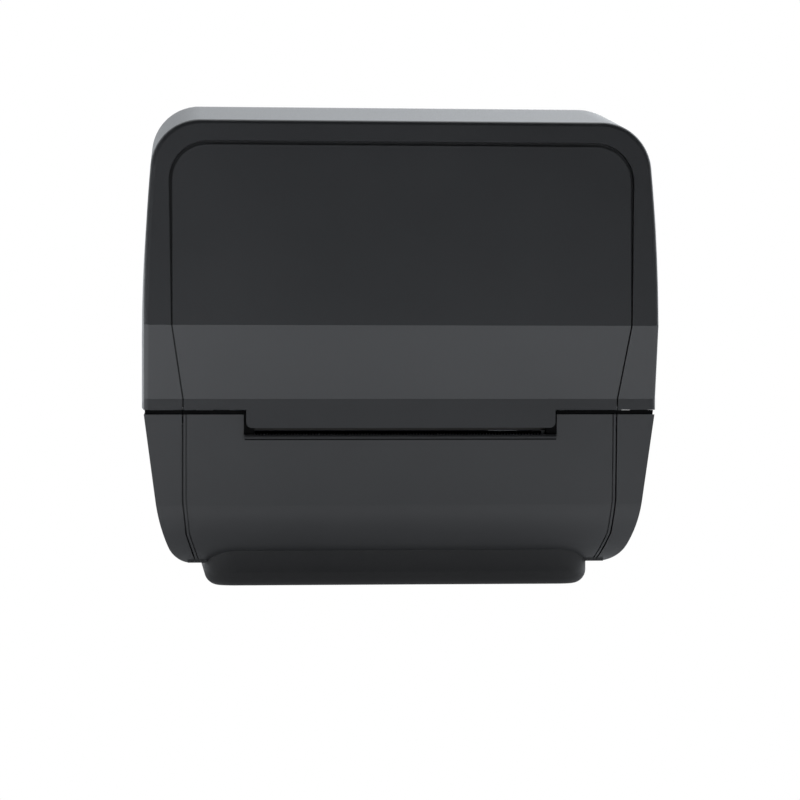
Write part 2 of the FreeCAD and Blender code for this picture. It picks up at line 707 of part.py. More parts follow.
pad(rocker, "YZ", switch_x - 8, switch_x + 8, [
    (skin_y - 6, port_z - 3.4), (skin_y - 0.6, port_z - 3.9), (skin_y - 2.2, port_z),
    (skin_y - 2.2, port_z + 3.8), (skin_y - 6, port_z + 3.4)])
pad(rocker, "YZ", switch_x - 9.8, switch_x + 9.8, ("ring", *rocker_spot, rocker_pin))
keep(rocker)

# Print mechanism in the base: platen, gear train, motor and tear bar.
GEAR_X = (-gear_in - gear_width, -gear_in)


def gear(label, teeth, bore, x, y, z, turn, upright=False):
    """A spur gear whose first tooth gap points along its own first axis before the turn."""
    piece = body(label)
    plane, axle = ("XY", "Z_Axis") if upright else ("YZ", "X_Axis")
    pitch = teeth * tooth_module / 2
    tip = pitch + tooth_module * 0.95
    low = pitch - tooth_module * 1.25
    slope = tangent(dim(20))
    narrow = tooth_module * 0.785 - tooth_module * 1.25 * slope + tooth_play / 2
    broad = tooth_module * 0.785 + tooth_module * 1.5 * slope + tooth_play / 2
    pad(piece, plane, x[0], x[1], ("ring", dim(0), dim(0), tip), ("ring", dim(0), dim(0), bore))
    mouth = pitch + tooth_module * 1.5
    gap = pocket(piece, plane, x[0] - 1, x[1] + 1, [
        (low, -narrow), (mouth, -broad), (mouth, broad), (low, narrow)])
    ring = piece.newObject("PartDesign::PolarPattern", label + "_teeth")
    ring.Originals = [gap]
    ring.Axis = (next(f for f in piece.Origin.OriginFeatures if f.Role == axle), [""])
    ring.Angle = 360
    piece.Tip = ring
    bind(ring, Occurrences=teeth)
    axis = Vector(0, 0, 1) if upright else Vector(1, 0, 0)
    piece.Placement = Placement(Vector(), Rotation(axis, math.degrees(turn)))
    if upright:
        move(piece, y, z)
    else:
        move(piece, 0, y, z)
    return keep(piece)


def meshed(turn, teeth, way, other):
    """The turn that puts a gear of other teeth in mesh with one of teeth at turn, along the direction way."""
    tooth = turn + math.pi / teeth.value
    share = (tooth - way) * teeth.value / (2 * math.pi)
    return way + math.pi + 2 * math.pi / other.value * (0.5 - share) - math.pi / other.value


def direction(a, b):
    return math.atan2(b[1].value - a[1].value, b[0].value - a[0].value)


platen_spot = (platen_y, platen_z)
idler_spot = (idler_y, idler_z)
motor_spot = (motor_y, motor_z)
transfer_reach = (platen_teeth + transfer_teeth) * tooth_module / 2 + tooth_play
lower_spot = (platen_y + 3, platen_z + root(transfer_reach * transfer_reach - 9))
upper_reach = transfer_teeth * tooth_module + tooth_play
upper_spot = (lower_spot[0] + 6, lower_spot[1] + root(upper_reach * upper_reach - 36))
takeup_reach = (transfer_teeth + takeup_teeth) * tooth_module / 2 + tooth_play
takeup_spot = (upper_spot[0] + 6, upper_spot[1] + root(takeup_reach * takeup_reach - 36))
supply_spot = (supply_y, supply_z)

keep(rod("platen_shaft", "X", shaft_radius, -gear_in - gear_width - 1, bay_half + 8, *platen_spot))
sleeve = body("platen_rubber")
pad(sleeve, "YZ", -platen_half, platen_half, ("ring", *platen_spot, platen_radius),
    ("ring", *platen_spot, shaft_radius))
keep(sleeve)
bearings = body("bearing_right")
pad(bearings, "YZ", bay_half - 1, bay_half + 5, ("ring", *platen_spot, bearing_radius),
    ("ring", *platen_spot, shaft_radius + running))
pair = doc.addObject("Part::Compound", "platen_bearings")
pair.Label = "platen_bearings"
pair.Links = [bearings, mirror("bearing_left", bearings)]
keep(pair)
platen_turn = 0.0
gear("platen_gear", platen_teeth, shaft_radius, GEAR_X, *platen_spot, platen_turn)
idler_turn = meshed(platen_turn, platen_teeth, direction(platen_spot, idler_spot), idler_teeth)
gear("idler_gear", idler_teeth, axle_radius + running, GEAR_X, *idler_spot, idler_turn)
motor_turn = meshed(idler_turn, idler_teeth, direction(idler_spot, motor_spot), pinion_teeth)
gear("motor_pinion", pinion_teeth, dim(1.5), GEAR_X, *motor_spot, motor_turn)
keep(rod("motor_shaft", "X", dim(1.5), -gear_in - gear_width - 0.5, -bay_half - 1, *motor_spot))
keep(rod("idler_axle", "X", axle_radius, -gear_in - gear_width - 1, -bay_half - wall, *idler_spot))
can = body("stepper_motor")
pad(can, "YZ", 0.2 - bay_half, motor_length - bay_half, ("ring", *motor_spot, motor_radius))
pad(can, "YZ", 0.2 - bay_half, 1.7 - bay_half,
    rectangle((ears[0] - 4, ears[1] + 4), (motor_z - 6, motor_z + 6)))
pocket(can, "YZ", -bay_half - 1, 2 - bay_half, *[("ring", y, motor_z, screw_radius + 0.2) for y in ears])
pocket(can, "YZ", -bay_half - 1, 6 - bay_half, ("ring", *motor_spot, dim(1.7)))
keep(can)
screws = doc.addObject("Part::Compound", "motor_screws")
screws.Label = "motor_screws"
screws.Links = [fuse(f"motor_screw_{i}",
                     rod(f"screw_shank_{i}", "X", screw_radius, -bay_half - wall, 2 - bay_half, y, motor_z),
                     rod(f"screw_head_{i}", "X", screw_radius * 2, 1.7 - bay_half, 3.4 - bay_half, y, motor_z))
                for i, y in enumerate(ears)]
keep(screws)
tear = body("tear_bar")
tear_y = base_skin + wall + 1.7
pad(tear, "XZ", tear_y, tear_y + 1.2,
    rectangle((-platen_half - 2, platen_half + 2), (notch_z - 12, notch_z - 0.2)))
keep(tear)

# Lid latch: one cross shaft, two levers with hooks and finger pads.
keep(rod("latch_shaft", "X", shaft_radius, -gear_in - gear_width, gear_in + gear_width, latch_y, latch_z))
lever = body("latch_lever_right")
nose_z = latch_pin_z + pin_radius + 0.9
pad(lever, "YZ", gear_in + 0.5, gear_in + gear_width - 0.5, [
    (latch_y - 6, latch_z - 6), (latch_y + 6, latch_z - 6), (latch_y + 6, latch_z + 6),
    (latch_pin_y - 4, latch_pin_z - 8), (latch_pin_y - 4, nose_z), (latch_pin_y + 3, nose_z),
    (latch_pin_y + 2, nose_z + 3.5), (latch_pin_y - 7, nose_z + 3.5), (latch_pin_y - 11, latch_pin_z - 6),
    (latch_y - 8, latch_z + 4)])
pad(lever, "YZ", gear_in + 0.5, half - 2.2, [
    (latch_pin_y - 10, latch_pin_z - 17), (latch_pin_y + 1, latch_pin_z - 17),
    (latch_pin_y - 4, latch_pin_z - 5), (latch_pin_y - 10, latch_pin_z - 5)])
pocket(lever, "YZ", gear_in - 1, gear_in + gear_width, ("ring", latch_y, latch_z, shaft_radius))
keep(lever)
keep(mirror("latch_lever_left", lever))

# Roll holders on toothed racks, turned towards each other by one pinion under the trough.
rack_low = floor_z + 1.5
rack_high = floor_z + 5
guide_pitch = guide_teeth * tooth_module / 2
pinion_y = roll_y
tooth_pitch = math.pi * tooth_module
narrow = tooth_module * 0.785 - tooth_module * 1.25 * tangent(dim(20)) + tooth_play / 2
broad = tooth_module * 0.785 + tooth_module * 1.5 * tangent(dim(20)) + tooth_play / 2


def roll_holder(label, sign):
    """An arm with a core hub and a media guide wing, standing on a rack that runs under the trough."""
    piece = body(label)

    def span(a, b):
        return (a, b) if sign > 0 else (-b, -a)

    line = pinion_y + sign * (guide_pitch + tooth_play)
    arm = span(holder_x, holder_x + holder_thick)
    pad(piece, "YZ", *arm, [
        (roll_y - 12, roll_z - 62), (roll_y + 12, roll_z - 62), (roll_y + 13, roll_z),
        (roll_y - 13, roll_z, dim(13.01)), (roll_y - 70, deck_z + 12), (roll_y - 70, deck_z + 1),
        (roll_y - 55, deck_z + 1), (roll_y - 46, deck_z - 4)])
    pad(piece, "YZ", *span(holder_x - 4, holder_x), ("ring", roll_y, roll_z, dim(12)))
    pad(piece, "YZ", *span(holder_x - 10, holder_x - 4), ("ring", roll_y, roll_z, dim(6)))
    neck = (line, line + 4) if sign > 0 else (line - 4, line)
    pad(piece, "YZ", *arm, rectangle(neck, (rack_low, roll_z - 61)))
    tip = line - sign * tooth_module * 0.95
    rack = (tip, line + 4) if sign > 0 else (line - 4, tip)
    pad(piece, "XY", rack_low, rack_high, rectangle(span(dim(-8), holder_x + holder_thick), rack))
    end = -sign * tooth_pitch * 2
    deep = line + sign * tooth_module * 1.25
    mouth = line - sign * tooth_module * 1.5
    gap = pocket(piece, "XY", rack_low - 1, rack_high + 1, [
        (end - narrow, deep), (end + narrow, deep), (end + broad, mouth), (end - broad, mouth)])
    row = piece.newObject("PartDesign::LinearPattern", label + "_teeth")
    row.Originals = [gap]
    row.Direction = (next(f for f in piece.Origin.OriginFeatures if f.Role == "X_Axis"), [""])
    row.Reversed = sign < 0
    row.Occurrences = 24
    piece.Tip = row
    bind(row, Length=tooth_pitch * 23)
    return keep(piece)


roll_holder("roll_holder_left", -1)
roll_holder("roll_holder_right", 1)
gear("guide_pinion", guide_teeth, axle_radius + running, (rack_low, rack_high - 0.5), dim(0), pinion_y,
     -math.pi / 2 + math.pi / guide_teeth.value, upright=True)
keep(rod("guide_axle", "Z", axle_radius, floor_z, rack_high + 0.3, dim(0), pinion_y))

# Lid frame: side plates with hinge bosses, latch studs and gear studs, a cross plate and the ribbon hubs.
frame_low = lid_z + 1
frame_x = (-frame_in - frame_thick, -frame_in)
plate = body("lid_frame_left")
pad(plate, "YZ", *frame_x, [
    (platen_y - 10, frame_low), (latch_pin_y + 18, frame_low), (latch_pin_y + 28, hinge_z - 6),
    (hinge_y, hinge_z - 6), (hinge_y, hinge_z + 6), (latch_pin_y + 28, hinge_z + 10),
    (latch_pin_y + 26, height - 30),
    (latch_pin_y + 10, height - 20), (platen_y + 6, height - 20), (platen_y - 10, height - 40)])
pad(plate, "YZ", -lug_x + clearance, 2 - frame_in, ("ring", hinge_y, hinge_z, lug_radius + 0.5))
pocket(plate, "YZ", -lug_x, 3 - frame_in, ("ring", hinge_y, hinge_z, pin_radius))
pad(plate, "YZ", -gear_in - gear_width - 1, 1 - frame_in - frame_thick,
    ("ring", latch_pin_y, latch_pin_z, pin_radius))
pocket(plate, "YZ", frame_x[0] - 1, frame_x[1] + 1, ("ring", *takeup_spot, shaft_radius + running),
       ("ring", *supply_spot, shaft_radius + running), ("ring", head_pivot_y, head_pivot_z, axle_radius))
keep(plate)
keep(mirror("lid_frame_right", plate))
studs = doc.addObject("Part::Compound", "transfer_axles")
studs.Label = "transfer_axles"
studs.Links = [rod(f"transfer_axle_{i}", "X", axle_radius, -gear_in - gear_width - 1, frame_x[0], *spot)
               for i, spot in enumerate((lower_spot, upper_spot))]
keep(studs)
lower_turn = meshed(platen_turn, platen_teeth, direction(platen_spot, lower_spot), transfer_teeth)
gear("transfer_gear_lower", transfer_teeth, axle_radius + running, GEAR_X, *lower_spot, lower_turn)
upper_turn = meshed(lower_turn, transfer_teeth, direction(lower_spot, upper_spot), transfer_teeth)
gear("transfer_gear_upper", transfer_teeth, axle_radius + running, GEAR_X, *upper_spot, upper_turn)
takeup_turn = meshed(upper_turn, transfer_teeth, direction(upper_spot, takeup_spot), takeup_teeth)
gear("takeup_gear", takeup_teeth, shaft_radius, GEAR_X, *takeup_spot, takeup_turn)
back_y = latch_pin_y + 22
keep(box("lid_cross_plate", (-frame_in, frame_in), (back_y, back_y + 2.5), (hinge_z + 14, height - 32)))
pins = doc.addObject("Part::Compound", "hinge_pins")
pins.Label = "hinge_pins"
pins.Links = [rod("hinge_pin_left", "X", pin_radius, -lug_x - lug_width, 2 - frame_in, hinge_y, hinge_z),
              rod("hinge_pin_right", "X", pin_radius, frame_in - 2, lug_x + lug_width, hinge_y, hinge_z)]
keep(pins)


def hub(label, spot, sign, outer):
    """A ribbon core hub with two keys and a flange; the shaft runs out through the side plate."""
    piece = body(label)

    def span(a, b):
        return (a, b) if sign > 0 else (-b, -a)

    pad(piece, "YZ", *span(frame_in - 17, frame_in - 4), ("ring", *spot, hub_radius))
    pad(piece, "YZ", *span(frame_in - 4, frame_in - 1), ("ring", *spot, hub_radius + 7))
    pad(piece, "YZ", *span(frame_in - 1, outer), ("ring", *spot, shaft_radius))
    key = hub_radius + 1
    pad(piece, "YZ", *span(frame_in - 15, frame_in - 3),
        rectangle((spot[0] - 0.8, spot[0] + 0.8), (spot[1] - key, spot[1] + key)))
    return keep(piece)


hub("takeup_hub_left", takeup_spot, -1, gear_in + gear_width + 1)
hub("takeup_hub_right", takeup_spot, 1, frame_in + frame_thick + 1)
hub("supply_hub_left", supply_spot, -1, frame_in + frame_thick + 1)
hub("supply_hub_right", supply_spot, 1, frame_in + frame_thick + 1)

# Printhead on its pivot.
head_low = platen_z + platen_radius + head_gap
keep(rod("head_pivot", "X", axle_radius, -frame_in - 1, frame_in + 1, head_pivot_y, head_pivot_z))
keep(box("printhead_bar", (-platen_half - 1, platen_half + 1), (platen_y - 8, platen_y + 7),
         (head_low, head_low + 1.5)))
sink = body("printhead_heatsink")
pad(sink, "YZ", -platen_half - 1, platen_half + 1, [
    (platen_y - 9, head_low + 1.5), (platen_y + 8, head_low + 1.5), (platen_y + 8, head_low + 8),
    (head_pivot_y + 4, head_pivot_z - 4), (head_pivot_y + 4, head_pivot_z + 4),
    (head_pivot_y - 4, head_pivot_z + 4), (platen_y - 9, head_low + 11)])
pocket(sink, "YZ", -platen_half - 2, platen_half + 2,
       ("ring", head_pivot_y, head_pivot_z, axle_radius + running))
fins = [rectangle((dim(12 * i - 0.9), dim(12 * i + 0.9)), (platen_y - 10, platen_y + 6)) for i in range(-4, 5)]
pocket(sink, "XY", head_low + 6, head_pivot_z + 8, *fins)
keep(sink)

# Feed button, status light and their board under the lid top.
cap = body("feed_button")
pad(cap, "XY", height - 4.5, height - 0.3, ("ring", button_x, button_y, button_radius))
pad(cap, "XY", height - wall - 6, height - 4.5, ("ring", button_x, button_y, dim(2.5)))
chamfer(cap, dim(0.6), lambda e: near(e, 2, height - 0.3) and e.Length > 20)
keep(cap)
keep(box("button_board", (button_x - 22, button_x + 14), (button_y - 8, button_y + 16),
         (height - wall - 9.6, height - wall - 8)))
keep(rod("status_light", "Z", dim(1.5), height - wall - 8, height - 0.2, button_x - 16, button_y))

doc.recompute()
for thing in doc.Objects:
    if "Invalid" in thing.State or "Error" in thing.State:
        raise RuntimeError(f"{thing.Label} was not built: {thing.State}")
os.makedirs("parts", exist_ok=True)
for node in nodes:
    if node.Shape.isNull() or not node.Shape.isValid():
        raise RuntimeError(f"{node.Label} has no valid shape")
    node.Shape.exportStep(f"parts/{node.Label}.step")
print(len(nodes), "pieces")
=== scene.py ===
# %% [markdown]
# # A desktop label printer
# This lesson dresses a finished CAD model. The shapes come in from the frame file, and each step
# below gives them surfaces, small fittings, light and a camera.

# %% Load the model
import json
import math

import bmesh
import bpy
from mathutils import Matrix, Vector


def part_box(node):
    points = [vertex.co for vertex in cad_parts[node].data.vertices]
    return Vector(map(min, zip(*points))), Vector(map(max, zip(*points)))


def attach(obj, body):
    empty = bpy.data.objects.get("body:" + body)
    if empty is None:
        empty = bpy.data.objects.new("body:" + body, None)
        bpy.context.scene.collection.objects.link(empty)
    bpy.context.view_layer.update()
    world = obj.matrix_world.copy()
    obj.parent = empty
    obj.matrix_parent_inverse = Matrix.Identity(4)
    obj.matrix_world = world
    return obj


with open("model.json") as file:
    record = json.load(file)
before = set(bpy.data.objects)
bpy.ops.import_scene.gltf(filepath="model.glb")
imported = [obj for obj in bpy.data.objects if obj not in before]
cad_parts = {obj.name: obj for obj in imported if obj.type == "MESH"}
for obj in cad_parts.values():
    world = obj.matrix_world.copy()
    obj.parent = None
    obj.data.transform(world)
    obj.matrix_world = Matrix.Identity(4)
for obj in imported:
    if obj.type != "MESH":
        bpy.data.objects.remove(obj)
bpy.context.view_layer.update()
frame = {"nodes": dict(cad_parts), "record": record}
nodes = frame["nodes"]
print(len(nodes), "pieces loaded")

# %% [markdown]
# ## A recipe for surfaces
# Every material here is made of nodes, so that it holds up in a close look. This helper builds the
# common part: a colour that drifts a little over the piece, a roughness that drifts with it, and a
# fine moulded texture from a bump. All of them read Object coordinates, which are metres here.

# %% Surface recipe
def link(tree, a, b):
    tree.links.new(a, b)


def noise(tree, coords, scale, detail=3.0, roughness=0.55):
    n = tree.nodes.new("ShaderNodeTexNoise")
    n.inputs["Scale"].default_value = scale
    n.inputs["Detail"].default_value = detail
    n.inputs["Roughness"].default_value = roughness
    link(tree, coords, n.inputs["Vector"])
    return n.outputs["Fac"]


def remap(tree, value, low, high, start=0.3, end=0.7):
    m = tree.nodes.new("ShaderNodeMapRange")
    m.inputs["From Min"].default_value = start
    m.inputs["From Max"].default_value = end
    m.inputs["To Min"].default_value = low
    m.inputs["To Max"].default_value = high
    link(tree, value, m.inputs["Value"])
    return m.outputs["Result"]


def surface(name, dark, light, rough, grain, bump, metal=0.0, stretch=None, specular=0.5):
    """A procedural surface: two close colours, a roughness range, the texture's scale and its height."""
    mat = bpy.data.materials.new(name)
    mat.use_nodes = True
    tree = mat.node_tree
    shader = tree.nodes["Principled BSDF"]
    coords = tree.nodes.new("ShaderNodeTexCoord").outputs["Object"]
    if stretch:
        m = tree.nodes.new("ShaderNodeMapping")
        m.inputs["Scale"].default_value = stretch
        link(tree, coords, m.inputs["Vector"])
        coords = m.outputs["Vector"]
    drift = noise(tree, coords, 18.0, 4.0)
    ramp = tree.nodes.new("ShaderNodeValToRGB")
    ramp.color_ramp.elements[0].position = 0.3
    ramp.color_ramp.elements[1].position = 0.7
    ramp.color_ramp.elements[0].color = (*dark, 1)
    ramp.color_ramp.elements[1].color = (*light, 1)
    link(tree, drift, ramp.inputs["Fac"])
    link(tree, ramp.outputs["Color"], shader.inputs["Base Color"])
    fine = noise(tree, coords, grain, 2.0)
    link(tree, remap(tree, fine, rough[0], rough[1]), shader.inputs["Roughness"])
    shader.inputs["Metallic"].default_value = metal
    shader.inputs["Specular IOR Level"].default_value = specular
    b = tree.nodes.new("ShaderNodeBump")
    b.inputs["Strength"].default_value = 0.35
    b.inputs["Distance"].default_value = bump
    link(tree, fine, b.inputs["Height"])
    link(tree, b.outputs["Normal"], shader.inputs["Normal"])
    return mat


# %% [markdown]
# ## The palette
# The housing is a charcoal plastic with a spark-eroded grain about a third of a millimetre across.
# The rest are the plastics and metals that such a machine has inside.

# %% Palette
palette = {
    "housing_charcoal": surface(
        "charcoal_plastic", (0.0185, 0.019, 0.0205), (0.0225, 0.023, 0.0245), (0.40, 0.48), 2600, 0.00004),
    "plinth_black": surface(
        "plinth_plastic", (0.0135, 0.0135, 0.0145), (0.0165, 0.0165, 0.0175), (0.50, 0.62), 2600, 0.00004),
    "rubber_black": surface(
        "black_rubber", (0.010, 0.010, 0.010), (0.018, 0.018, 0.018), (0.75, 0.9), 1400, 0.00006),
    "inner_grey": surface(
        "inner_grey_plastic", (0.085, 0.088, 0.092), (0.11, 0.114, 0.118), (0.5, 0.65), 2200, 0.00004),
    "holder_blue_grey": surface(
        "holder_plastic", (0.13, 0.17, 0.22), (0.16, 0.20, 0.26), (0.42, 0.55), 2200, 0.00003),
    "latch_grey": surface(
        "latch_plastic", (0.16, 0.165, 0.17), (0.20, 0.205, 0.21), (0.42, 0.55), 2200, 0.00003),
    "gear_white": surface(
        "gear_plastic", (0.62, 0.60, 0.53), (0.70, 0.68, 0.61), (0.35, 0.5), 1800, 0.00003),
    "steel": surface(
        "ground_steel", (0.45, 0.45, 0.46), (0.58, 0.58, 0.59), (0.24, 0.42), 900, 0.00002, 1.0, (1, 14, 14)),
    "brass": surface(
        "turned_brass", (0.58, 0.40, 0.15), (0.68, 0.49, 0.20), (0.25, 0.4), 900, 0.00002, 1.0),
    "aluminium_fins": surface(
        "sawn_aluminium", (0.55, 0.56, 0.58), (0.68, 0.69, 0.71), (0.3, 0.5), 800, 0.00003, 1.0, (1, 10, 10)),
    "ceramic_head": surface(
        "glazed_head", (0.028, 0.026, 0.024), (0.036, 0.033, 0.030), (0.12, 0.25), 900, 0.00001),
    "board_green": surface(
        "circuit_board", (0.010, 0.085, 0.030), (0.018, 0.12, 0.045), (0.3, 0.45), 700, 0.00003),
    "socket_black": surface(
        "socket_plastic", (0.012, 0.012, 0.013), (0.018, 0.018, 0.019), (0.35, 0.5), 2200, 0.00003),
    "socket_metal": surface(
        "socket_plating", (0.50, 0.50, 0.50), (0.62, 0.62, 0.61), (0.22, 0.36), 900, 0.00002, 1.0),
    "button_dark": surface(
        "button_plastic", (0.05, 0.05, 0.054), (0.062, 0.062, 0.066), (0.4, 0.5), 2200, 0.00003),
    "light_lens": surface(
        "lens_plastic", (0.50, 0.62, 0.50), (0.62, 0.74, 0.60), (0.15, 0.25), 900, 0.00001),
}
slots = {s["node"]: s["material_slot"] for s in frame["record"]["subparts"]}
for name, obj in nodes.items():
    obj.data.materials.clear()
    obj.data.materials.append(palette[slots[name]])
print(len(palette), "surfaces on", len(nodes), "pieces")

# %% [markdown]
# ## Small fittings that repeat
# A tear bar has a row of small points, a latch has ribs for a fingertip, and a circuit board is covered
# with flat components. They could be placed by hand, but rows and scatters are what Geometry Nodes do
# well, and a named input changes them all at once. The first tree sets blocks in a row, the second sets
# pointed teeth in a row and the third scatters components with a fixed seed. Each result becomes a
# plain mesh.

# %% Trees
def new_tree(name, inputs):
    """A node group with the named inputs; returns the tree, its input node and the sockets' identifiers."""
    tree = bpy.data.node_groups.new(name, "GeometryNodeTree")
    tree.interface.new_socket("Geometry", in_out="OUTPUT", socket_type="NodeSocketGeometry")
    keys = {}
    for label, kind in inputs:
        keys[label] = tree.interface.new_socket(label, in_out="INPUT", socket_type=kind).identifier
    return tree, tree.nodes.new("NodeGroupInput"), keys


def end_tree(tree, start, points, shape, scale=None):
    """Sets the shape on the points, makes it real, paints it and hands it to the output."""
    spread = tree.nodes.new("GeometryNodeInstanceOnPoints")
    link(tree, points, spread.inputs["Points"])
    link(tree, shape, spread.inputs["Instance"])
    if scale is not None:
        link(tree, scale, spread.inputs["Scale"])
    real = tree.nodes.new("GeometryNodeRealizeInstances")
    link(tree, spread.outputs["Instances"], real.inputs["Geometry"])
    paint = tree.nodes.new("GeometryNodeSetMaterial")
    link(tree, real.outputs["Geometry"], paint.inputs["Geometry"])
    link(tree, start.outputs["Material"], paint.inputs["Material"])
    link(tree, paint.outputs["Geometry"], tree.nodes.new("NodeGroupOutput").inputs["Geometry"])


def line_of_points(tree, start):
    line = tree.nodes.new("GeometryNodeMeshLine")
    link(tree, start.outputs["Count"], line.inputs["Count"])
    link(tree, start.outputs["First"], line.inputs["Start Location"])
    link(tree, start.outputs["Step"], line.inputs["Offset"])
    return line.outputs["Mesh"]


ROW = [("Count", "NodeSocketInt"), ("First", "NodeSocketVector"), ("Step", "NodeSocketVector"),
       ("Size", "NodeSocketVector"), ("Material", "NodeSocketMaterial")]
blocks, start, block_keys = new_tree("row_of_blocks", ROW)
cube = blocks.nodes.new("GeometryNodeMeshCube")
link(blocks, start.outputs["Size"], cube.inputs["Size"])
end_tree(blocks, start, line_of_points(blocks, start), cube.outputs["Mesh"])

teeth, start, tooth_keys = new_tree("row_of_teeth", ROW)
cone = teeth.nodes.new("GeometryNodeMeshCone")
cone.inputs["Vertices"].default_value = 4
cone.inputs["Radius Top"].default_value = 0.0
cone.inputs["Radius Bottom"].default_value = 1.0
cone.inputs["Depth"].default_value = 1.0
end_tree(teeth, start, line_of_points(teeth, start), cone.outputs["Mesh"], start.outputs["Size"])

scatter, start, scatter_keys = new_tree("scattered_parts", [
    ("Columns", "NodeSocketInt"), ("Rows", "NodeSocketInt"),
    ("Width", "NodeSocketFloat"), ("Height", "NodeSocketFloat"),
    ("Smallest", "NodeSocketVector"), ("Largest", "NodeSocketVector"), ("Seed", "NodeSocketInt"),
    ("Material", "NodeSocketMaterial")])
grid = scatter.nodes.new("GeometryNodeMeshGrid")
link(scatter, start.outputs["Columns"], grid.inputs["Vertices X"])
link(scatter, start.outputs["Rows"], grid.inputs["Vertices Y"])
link(scatter, start.outputs["Width"], grid.inputs["Size X"])
link(scatter, start.outputs["Height"], grid.inputs["Size Y"])
chip = scatter.nodes.new("GeometryNodeMeshCube")
chance = scatter.nodes.new("FunctionNodeRandomValue")
chance.data_type = "FLOAT_VECTOR"
link(scatter, start.outputs["Smallest"], chance.inputs["Min"])
link(scatter, start.outputs["Largest"], chance.inputs["Max"])
link(scatter, start.outputs["Seed"], chance.inputs["Seed"])
end_tree(scatter, start, grid.outputs["Mesh"], chip.outputs["Mesh"], chance.outputs["Value"])


# %% Fittings
def fitting(name, tree, keys, values, body, slot, turn=None):
    """Runs a tree, keeps the result as a plain mesh and lets it ride on a body of the model."""
    obj = bpy.data.objects.new(name, bpy.data.meshes.new(name))
    bpy.context.collection.objects.link(obj)
    nodes_mod = obj.modifiers.new("nodes", "NODES")
    nodes_mod.node_group = tree
    for label, value in {**values, "Material": palette[slot]}.items():
        nodes_mod[keys[label]] = value
    made = bpy.data.meshes.new_from_object(obj.evaluated_get(bpy.context.evaluated_depsgraph_get()))
    obj.modifiers.clear()
    obj.data = made
    obj.name = name
    if turn is not None:
        made.transform(turn)
    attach(obj, body)
    return obj


TOOTH_COUNT, TOOTH_MARGIN, TOOTH_SINK = 96, 0.002, 0.0001
TOOTH_SIZE = (0.0006, 0.0005, 0.0009)
low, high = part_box("tear_bar")
pitch = (high[0] - low[0] - 2 * TOOTH_MARGIN) / (TOOTH_COUNT - 1)
fitting("tear_teeth", teeth, tooth_keys, {
    "Count": TOOTH_COUNT, "Step": (pitch, 0, 0), "Size": TOOTH_SIZE,
    "First": (low[0] + TOOTH_MARGIN, (low[1] + high[1]) / 2, high[2] - TOOTH_SINK)}, "base", "steel")
print(TOOTH_COUNT, "teeth,", round(pitch * 1000, 2), "mm apart")

RIB_COUNT, RIB_PITCH, RIB_DEEP, RIB_TALL = 4, 0.0024, 0.0008, 0.0010
RIB_INNER, RIB_OUTER, PAD_FACE, RIB_LOWEST = 0.078, 0.0955, -0.058, 0.0600
for side, sign in (("left", -1), ("right", 1)):
    fitting("latch_ribs_" + side, blocks, block_keys, {
        "Count": RIB_COUNT, "Step": (0, 0, RIB_PITCH), "Size": (RIB_OUTER - RIB_INNER, RIB_DEEP, RIB_TALL),
        "First": (sign * (RIB_INNER + RIB_OUTER) / 2, PAD_FACE, RIB_LOWEST)}, "latch", "latch_grey")

BOARD_SINK = 0.0008
low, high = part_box("main_board")
middle = Vector((0, low[1] - BOARD_SINK, (low[2] + high[2]) / 2))
lift = Matrix.Translation(middle) @ Matrix.Rotation(math.pi / 2, 4, "X")
fitting("board_parts", scatter, scatter_keys, {
    "Columns": 11, "Rows": 4, "Width": 0.104, "Height": 0.030, "Smallest": (0.002, 0.002, 0.0012),
    "Largest": (0.009, 0.008, 0.0036), "Seed": 7}, "base", "socket_black", lift)

# %% [markdown]
# ## Painted shade and fillers
# A near-black strip of painted shade fills the step under the lid's edge; it stands in for the shadow in the
# seam and is no real seal. It could be drawn as a curve with a profile, but the step already has the right
# outline, so its own faces are copied, moved out and given a thickness.
# Small charcoal blocks close the lower ends of the side grooves, where the base tucks under, and near-black
# blocks of painted shade close the two ends of the printhead.

# %% Painted seam shade
# Near-black painted shade: this colour stands in for the shadow in the seam, under the exit lip and at the
# slot's ends.
shade_black = surface(
    "shade_black", (0.0015, 0.0015, 0.0016), (0.0025, 0.0025, 0.0026),
    (0.85, 0.95), 1400, 0.00006, specular=0.1)


def piece(name, bm, material, body):
    mesh = bpy.data.meshes.new(name)
    bm.to_mesh(mesh)
    bm.free()
    mesh.materials.append(material)
    obj = bpy.data.objects.new(name, mesh)
    bpy.context.collection.objects.link(obj)
    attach(obj, body)
    return obj


def mirrored(low, high):
    """The same block on the left and on the right."""
    return [((-high[0], *low[1:]), (-low[0], *high[1:])), (low, high)]


def blocks_at(name, boxes, material, body):
    """One piece of plain blocks, each given by its low and high corner in millimetres."""
    bm = bmesh.new()
    for low, high in boxes:
        middle = [(a + b) / 2000 for a, b in zip(low, high)]
        sizes = [(b - a) / 1000 for a, b in zip(low, high)]
        bmesh.ops.create_cube(bm, size=1.0, matrix=Matrix.Translation(middle) @ Matrix.Diagonal((*sizes, 1)))
    return piece(name, bm, material, body)


